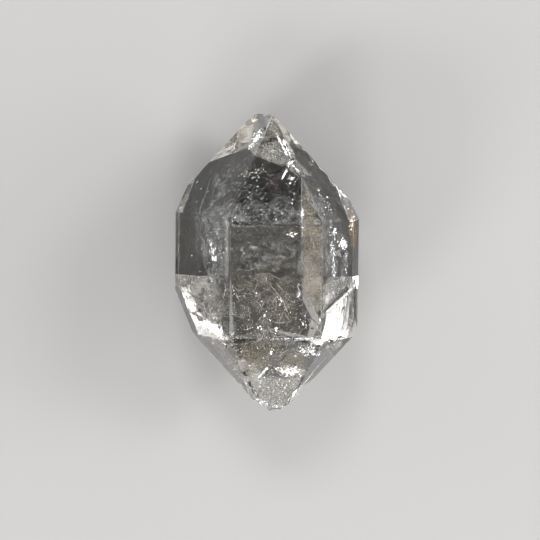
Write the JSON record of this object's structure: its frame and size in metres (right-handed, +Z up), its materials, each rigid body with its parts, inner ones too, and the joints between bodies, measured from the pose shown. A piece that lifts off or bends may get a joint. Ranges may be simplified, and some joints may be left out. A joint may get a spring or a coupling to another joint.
{
  "type": "double-ended quartz crystal",
  "caption": "Water-clear quartz crystal with a point at each end, lying on one of its flat side faces, with veils, cracks and sparkling flecks sealed inside",
  "frame": {"origin": "centre of the crystal's box, on the plane that it rests on", "axes": "+Z up; +Y along the crystal's long axis, towards its unbroken tip; +X to the right of someone looking along +Y"},
  "size_m": [0.0172, 0.0278, 0.0156],
  "materials": {
    "quartz": "clear and glossy, with fine growth lines",
    "cavity": "thin air-filled cracks and tiny hollows, bright where they mirror light",
    "veil": "milky wisps and bruised white patches",
    "iron_stain": "golden brown film",
    "dark_speck": "black, dull"
  },
  "bodies": {
    "root": {"quartz_crystal": "quartz"}
  },
  "joints": []
}
